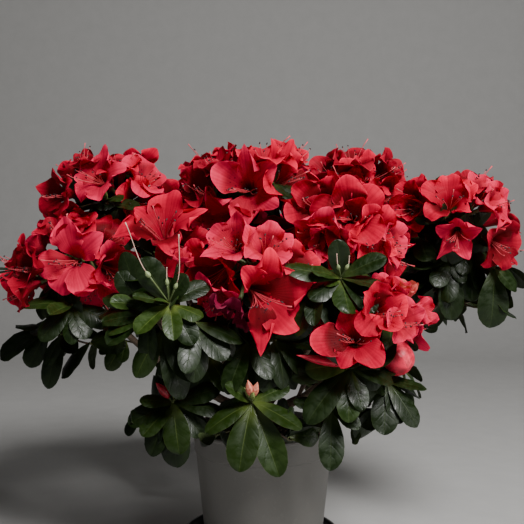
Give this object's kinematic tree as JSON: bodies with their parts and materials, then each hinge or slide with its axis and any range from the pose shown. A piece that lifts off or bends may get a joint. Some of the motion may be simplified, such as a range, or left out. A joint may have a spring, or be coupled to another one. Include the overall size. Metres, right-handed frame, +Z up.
{
  "type": "potted azalea shrub in flower",
  "caption": "Flowering azalea in a round plastic pot on a saucer, with a spreading crown of ruffled coral red blossom over dark leathery leaves.",
  "frame": {"origin": "on the saucer's flat underside, under the pot's axis", "axes": "+Z up along the pot's axis, +X to the plant's right along the widest spread of the crown, -Y to its front"},
  "size_m": [0.4614, 0.3467, 0.3827],
  "materials": {
    "saucer": "satin",
    "pot": "matte",
    "soil": "matte",
    "bark": "matte",
    "petals": "matte",
    "leaves": "satin"
  },
  "bodies": {
    "root": {"bough_back": "bark", "bough_back_left": "bark", "bough_back_right": "bark", "bough_front": "bark", "bough_left": "bark", "bough_left_back": "bark", "bough_left_front": "bark", "bough_left_mid": "bark", "bough_low_back_left": "bark", "bough_low_back_right": "bark", "bough_low_front": "bark", "bough_low_left": "bark", "bough_low_right": "bark", "bough_right": "bark", "bough_right_front": "bark", "bough_right_mid": "bark", "bough_top": "bark", "bough_top_back": "bark", "bough_upper_left": "bark", "bough_upper_right": "bark", "mass_back": "petals", "mass_back_drape": "leaves", "mass_back_left": "petals", "mass_back_left_drape": "leaves", "mass_back_right": "petals", "mass_back_right_drape": "leaves", "mass_back_top": "petals", "mass_centre_front": "petals", "mass_centre_top": "petals", "mass_left_back": "petals", "mass_left_drape": "leaves", "mass_left_mid": "petals", "mass_left_shoot": "leaves", "mass_left_skirt": "leaves", "mass_left_wing": "petals", "mass_low_back_left": "leaves", "mass_low_back_right": "leaves", "mass_low_front": "leaves", "mass_low_left": "leaves", "mass_low_right": "leaves", "mass_right_back": "leaves", "mass_right_drape": "leaves", "mass_right_front": "petals", "mass_right_mid": "petals", "mass_right_shoot": "leaves", "mass_right_skirt": "leaves", "mass_right_wing": "petals", "mass_upper_left": "petals", "mass_upper_right": "petals", "pot": "pot", "root_ball": "soil", "saucer": "saucer", "stem": "bark"}
  },
  "joints": []
}
